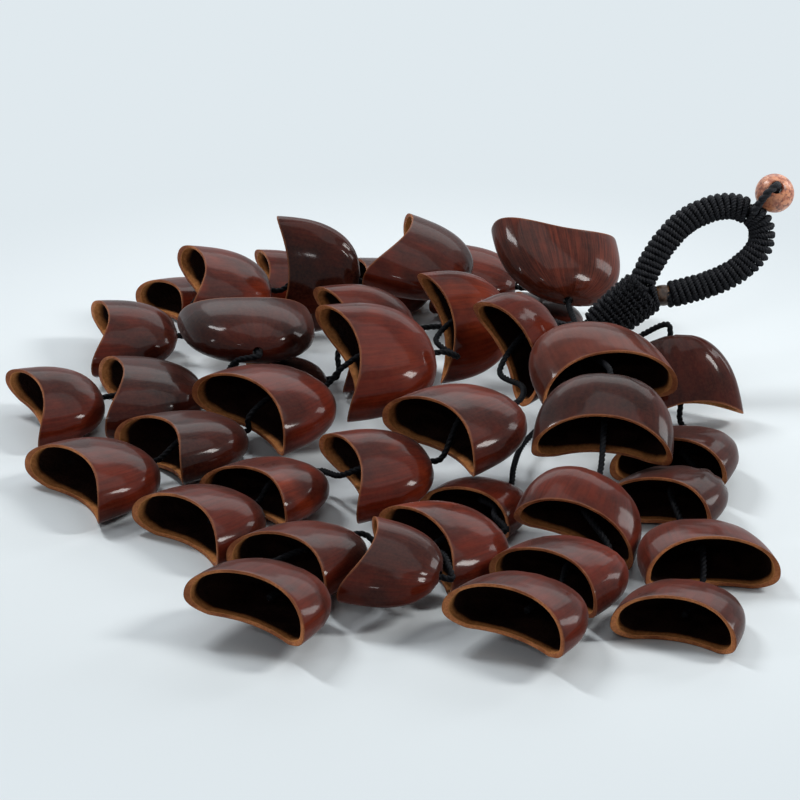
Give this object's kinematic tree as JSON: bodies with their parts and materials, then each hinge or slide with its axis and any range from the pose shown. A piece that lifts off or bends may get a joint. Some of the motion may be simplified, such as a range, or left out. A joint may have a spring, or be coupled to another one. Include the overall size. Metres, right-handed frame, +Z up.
{
  "type": "seed pod rattle",
  "caption": "Shaken rattle: hollow half seed shells knotted along strands of black cord, gathered under a whipped neck with a cord-wound loop handle and a wooden bead.",
  "frame": {"origin": "middle of the laid-out pile, on the table", "axes": "+X to the right as pictured, +Y away from the camera, +Z up"},
  "size_m": [0.3054, 0.3428, 0.0834],
  "materials": {
    "shell": "satin dark red-brown seed shell with a pale sanded lip",
    "cord": "black twisted nylon cord",
    "bead": "mottled reddish tan wooden bead",
    "sleeve": "matt brown sleeve"
  },
  "bodies": {
    "handle": {"loop_core": "cord", "loop_winding_upper": "cord", "loop_winding_lower": "cord", "neck_bundle": "cord", "neck_whipping": "cord", "crotch_sleeve": "sleeve", "bead_cord": "cord", "cord_fore": "cord"},
    "bead": {"bead": "bead"},
    "strand_front": {"cord_front": "cord"},
    "pod_front_1": {"pod_front_1": "shell"},
    "pod_front_2": {"pod_front_2": "shell"},
    "pod_front_3": {"pod_front_3": "shell"},
    "pod_front_4": {"pod_front_4": "shell"},
    "pod_front_5": {"pod_front_5": "shell"},
    "strand_right": {"cord_right": "cord"},
    "pod_right_1": {"pod_right_1": "shell"},
    "pod_right_2": {"pod_right_2": "shell"},
    "pod_right_3": {"pod_right_3": "shell"},
    "pod_right_4": {"pod_right_4": "shell"},
    "pod_right_5": {"pod_right_5": "shell"},
    "pod_fore_1": {"pod_fore_1": "shell"},
    "pod_fore_2": {"pod_fore_2": "shell"},
    "pod_fore_3": {"pod_fore_3": "shell"},
    "pod_fore_4": {"pod_fore_4": "shell"},
    "pod_fore_5": {"pod_fore_5": "shell"},
    "strand_middle": {"cord_middle": "cord"},
    "pod_middle_1": {"pod_middle_1": "shell"},
    "pod_middle_2": {"pod_middle_2": "shell"},
    "pod_middle_3": {"pod_middle_3": "shell"},
    "pod_middle_4": {"pod_middle_4": "shell"},
    "pod_middle_5": {"pod_middle_5": "shell"},
    "strand_long": {"cord_long": "cord"},
    "pod_long_1": {"pod_long_1": "shell"},
    "pod_long_2": {"pod_long_2": "shell"},
    "pod_long_3": {"pod_long_3": "shell"},
    "pod_long_4": {"pod_long_4": "shell"},
    "pod_long_5": {"pod_long_5": "shell"},
    "strand_left": {"cord_left": "cord"},
    "pod_left_1": {"pod_left_1": "shell"},
    "pod_left_2": {"pod_left_2": "shell"},
    "pod_left_3": {"pod_left_3": "shell"},
    "pod_left_4": {"pod_left_4": "shell"},
    "pod_left_5": {"pod_left_5": "shell"},
    "strand_back": {"cord_back": "cord"},
    "pod_back_1": {"pod_back_1": "shell"},
    "pod_back_2": {"pod_back_2": "shell"},
    "pod_back_3": {"pod_back_3": "shell"},
    "pod_back_4": {"pod_back_4": "shell"},
    "pod_back_5": {"pod_back_5": "shell"},
    "strand_far": {"cord_far": "cord"},
    "pod_far_1": {"pod_far_1": "shell"},
    "pod_far_2": {"pod_far_2": "shell"},
    "pod_far_3": {"pod_far_3": "shell"},
    "pod_far_4": {"pod_far_4": "shell"},
    "pod_far_5": {"pod_far_5": "shell"}
  },
  "joints": [
    {"name": "front_lift", "type": "hinge", "parent": "handle", "child": "strand_front", "pos_m": [0.07614, 0.05378, 0.02801], "axis": [-0.9949, 0.1005, 0], "range_deg": [0, 20]},
    {"name": "front_1_lift", "type": "hinge", "parent": "strand_front", "child": "pod_front_1", "pos_m": [0.06684, 0.03545, 0.03625], "axis": [-0.9477, -0.3192, 0], "range_deg": [0, 12]},
    {"name": "front_2_lift", "type": "hinge", "parent": "strand_front", "child": "pod_front_2", "pos_m": [0.07737, -0.01006, 0.03657], "axis": [-0.9937, 0.1122, 0], "range_deg": [0, 12]},
    {"name": "front_3_lift", "type": "hinge", "parent": "strand_front", "child": "pod_front_3", "pos_m": [0.07064, -0.0606, 0.02067], "axis": [-0.9621, 0.2728, 0], "range_deg": [0, 12]},
    {"name": "front_4_lift", "type": "hinge", "parent": "strand_front", "child": "pod_front_4", "pos_m": [0.07023, -0.10091, 0.0115], "axis": [-0.7703, 0.6377, 0], "range_deg": [0, 8]},
    {"name": "front_5_lift", "type": "hinge", "parent": "strand_front", "child": "pod_front_5", "pos_m": [0.05238, -0.1295, 0.01206], "axis": [-0.8538, 0.5206, 0], "range_deg": [0, 12]},
    {"name": "right_swing", "type": "hinge", "parent": "handle", "child": "strand_right", "pos_m": [0.07799, 0.05714, 0.02383], "axis": [0, 0, 1], "range_deg": [0, 16]},
    {"name": "right_1_yaw", "type": "hinge", "parent": "strand_right", "child": "pod_right_1", "pos_m": [0.10369, 0.03947, 0.03194], "axis": [0, 0, -1], "range_deg": [0, 10]},
    {"name": "right_2_lift", "type": "hinge", "parent": "strand_right", "child": "pod_right_2", "pos_m": [0.11201, -0.00159, 0.00902], "axis": [-0.9116, 0.411, 0], "range_deg": [0, 5]},
    {"name": "right_3_yaw", "type": "hinge", "parent": "strand_right", "child": "pod_right_3", "pos_m": [0.10692, -0.03605, 0.00916], "axis": [0, 0, 1], "range_deg": [0, 10]},
    {"name": "right_4_lift", "type": "hinge", "parent": "strand_right", "child": "pod_right_4", "pos_m": [0.10222, -0.07765, 0.00846], "axis": [-0.9792, -0.2028, 0], "range_deg": [0, 10]},
    {"name": "right_5_lift", "type": "hinge", "parent": "strand_right", "child": "pod_right_5", "pos_m": [0.10308, -0.12014, 0.0067], "axis": [-0.9419, 0.336, 0], "range_deg": [0, 10]},
    {"name": "fore_1_yaw", "type": "hinge", "parent": "handle", "child": "pod_fore_1", "pos_m": [0.03779, -0.03909, 0.0056], "axis": [0, 0, 1], "range_deg": [0, 10]},
    {"name": "fore_2_lift", "type": "hinge", "parent": "handle", "child": "pod_fore_2", "pos_m": [0.03351, -0.08164, 0.01004], "axis": [-0.5607, 0.828, 0], "range_deg": [0, 7]},
    {"name": "fore_3_yaw", "type": "hinge", "parent": "handle", "child": "pod_fore_3", "pos_m": [0.0128, -0.12266, 0.01459], "axis": [0, 0, 1], "range_deg": [0, 5]},
    {"name": "fore_4_lift", "type": "hinge", "parent": "handle", "child": "pod_fore_4", "pos_m": [-0.01978, -0.08437, 0.00901], "axis": [-0.7419, 0.6705, 0], "range_deg": [0, 12]},
    {"name": "fore_5_lift", "type": "hinge", "parent": "handle", "child": "pod_fore_5", "pos_m": [-0.03559, -0.12152, 0.01258], "axis": [-0.8728, 0.488, 0], "range_deg": [0, 12]},
    {"name": "middle_lift", "type": "hinge", "parent": "handle", "child": "strand_middle", "pos_m": [0.07418, 0.05519, 0.03013], "axis": [-0.7079, 0.7064, 0], "range_deg": [0, 14]},
    {"name": "middle_1_lift", "type": "hinge", "parent": "strand_middle", "child": "pod_middle_1", "pos_m": [0.0587, 0.05507, 0.02898], "axis": [-0.7983, 0.6022, 0], "range_deg": [0, 12]},
    {"name": "middle_2_yaw", "type": "hinge", "parent": "strand_middle", "child": "pod_middle_2", "pos_m": [0.03962, -0.01471, 0.0284], "axis": [0, 0, -1], "range_deg": [0, 10]},
    {"name": "middle_3_lift", "type": "hinge", "parent": "strand_middle", "child": "pod_middle_3", "pos_m": [0.00988, -0.03984, 0.0179], "axis": [-0.3106, 0.9505, 0], "range_deg": [0, 5]},
    {"name": "middle_4_lift", "type": "hinge", "parent": "strand_middle", "child": "pod_middle_4", "pos_m": [-0.03334, -0.03234, 0.00871], "axis": [-0.7058, 0.7084, 0], "range_deg": [0, 4]},
    {"name": "middle_5_lift", "type": "hinge", "parent": "strand_middle", "child": "pod_middle_5", "pos_m": [-0.05536, -0.05481, 0.0073], "axis": [-0.6869, 0.7268, 0], "range_deg": [0, 12]},
    {"name": "long_lift", "type": "hinge", "parent": "handle", "child": "strand_long", "pos_m": [0.07286, 0.05918, 0.03013], "axis": [-0.3659, 0.9306, 0], "range_deg": [0, 3]},
    {"name": "long_1_lift", "type": "hinge", "parent": "strand_long", "child": "pod_long_1", "pos_m": [0.04184, 0.07465, 0.02498], "axis": [-0.3537, 0.9353, 0], "range_deg": [0, 11]},
    {"name": "long_2_lift", "type": "hinge", "parent": "strand_long", "child": "pod_long_2", "pos_m": [0.01191, 0.03621, 0.027], "axis": [-0.2956, 0.9553, 0], "range_deg": [0, 8]},
    {"name": "long_3_lift", "type": "hinge", "parent": "strand_long", "child": "pod_long_3", "pos_m": [-0.03184, 0.02324, 0.01798], "axis": [-0.678, 0.7351, 0], "range_deg": [0, 5]},
    {"name": "long_4_lift", "type": "hinge", "parent": "strand_long", "child": "pod_long_4", "pos_m": [-0.06147, -0.0001, 0.01056], "axis": [-0.5248, 0.8513, 0], "range_deg": [0, 6]},
    {"name": "long_5_lift", "type": "hinge", "parent": "strand_long", "child": "pod_long_5", "pos_m": [-0.09393, -0.02068, 0.008], "axis": [-0.5931, 0.8051, 0], "range_deg": [0, 12]},
    {"name": "left_lift", "type": "hinge", "parent": "handle", "child": "strand_left", "pos_m": [0.0736, 0.06148, 0.02801], "axis": [-0.0819, 0.9966, 0], "range_deg": [0, 6]},
    {"name": "left_1_lift", "type": "hinge", "parent": "strand_left", "child": "pod_left_1", "pos_m": [0.00537, 0.07968, 0.01798], "axis": [-0.3195, 0.9476, 0], "range_deg": [0, 8]},
    {"name": "left_2_yaw", "type": "hinge", "parent": "strand_left", "child": "pod_left_2", "pos_m": [-0.03027, 0.05966, 0.0054], "axis": [0, 0, 1], "range_deg": [0, 10]},
    {"name": "left_3_lift", "type": "hinge", "parent": "strand_left", "child": "pod_left_3", "pos_m": [-0.0547, 0.03811, 0.02688], "axis": [0.9847, 0.1745, 0], "range_deg": [0, 12]},
    {"name": "left_4_lift", "type": "hinge", "parent": "strand_left", "child": "pod_left_4", "pos_m": [-0.07663, 0.03786, 0.0083], "axis": [-0.1283, 0.9917, 0], "range_deg": [0, 11]},
    {"name": "left_5_lift", "type": "hinge", "parent": "strand_left", "child": "pod_left_5", "pos_m": [-0.11564, 0.03354, 0.00937], "axis": [-0.3956, 0.9184, 0], "range_deg": [0, 10]},
    {"name": "back_lift", "type": "hinge", "parent": "handle", "child": "strand_back", "pos_m": [0.07709, 0.05987, 0.02383], "axis": [0.4216, 0.9068, 0], "range_deg": [0, 3]},
    {"name": "back_1_lift", "type": "hinge", "parent": "strand_back", "child": "pod_back_1", "pos_m": [0.0728, 0.10421, 0.0066], "axis": [0.1673, 0.9859, 0], "range_deg": [0, 8]},
    {"name": "back_2_yaw", "type": "hinge", "parent": "strand_back", "child": "pod_back_2", "pos_m": [0.02692, 0.11985, 0.02274], "axis": [0, 0, 1], "range_deg": [0, 10]},
    {"name": "back_3_lift", "type": "hinge", "parent": "strand_back", "child": "pod_back_3", "pos_m": [-0.01717, 0.11221, 0.025], "axis": [0.096, 0.9954, 0], "range_deg": [0, 12]},
    {"name": "back_4_lift", "type": "hinge", "parent": "strand_back", "child": "pod_back_4", "pos_m": [-0.05316, 0.11282, 0.02062], "axis": [-0.1757, 0.9845, 0], "range_deg": [0, 6]},
    {"name": "back_5_lift", "type": "hinge", "parent": "strand_back", "child": "pod_back_5", "pos_m": [-0.08969, 0.08792, 0.01146], "axis": [-0.0859, 0.9963, 0], "range_deg": [0, 11]},
    {"name": "far_swing", "type": "hinge", "parent": "handle", "child": "strand_far", "pos_m": [0.07542, 0.06164, 0.02537], "axis": [0, 0, -1], "range_deg": [0, 14]},
    {"name": "far_1_lift", "type": "hinge", "parent": "strand_far", "child": "pod_far_1", "pos_m": [0.06687, 0.09807, 0.02285], "axis": [0.9945, 0.1049, 0], "range_deg": [0, 12]},
    {"name": "far_2_lift", "type": "hinge", "parent": "strand_far", "child": "pod_far_2", "pos_m": [0.04681, 0.14332, 0.00879], "axis": [0.2394, 0.9709, 0], "range_deg": [0, 8]},
    {"name": "far_3_lift", "type": "hinge", "parent": "strand_far", "child": "pod_far_3", "pos_m": [0.01081, 0.14683, 0.0069], "axis": [-0.1456, 0.9893, 0], "range_deg": [0, 12]},
    {"name": "far_4_lift", "type": "hinge", "parent": "strand_far", "child": "pod_far_4", "pos_m": [-0.0323, 0.13895, 0.011], "axis": [-0.0683, 0.9977, 0], "range_deg": [0, 7]},
    {"name": "far_5_yaw", "type": "hinge", "parent": "strand_far", "child": "pod_far_5", "pos_m": [-0.07408, 0.13983, 0.00727], "axis": [0, 0, -1], "range_deg": [0, 10]},
    {"name": "bead_spin", "type": "hinge", "parent": "handle", "child": "bead", "pos_m": [0.14544, 0.08033, 0.07539], "axis": [0, -0.766, 0.6428], "continuous": true}
  ]
}
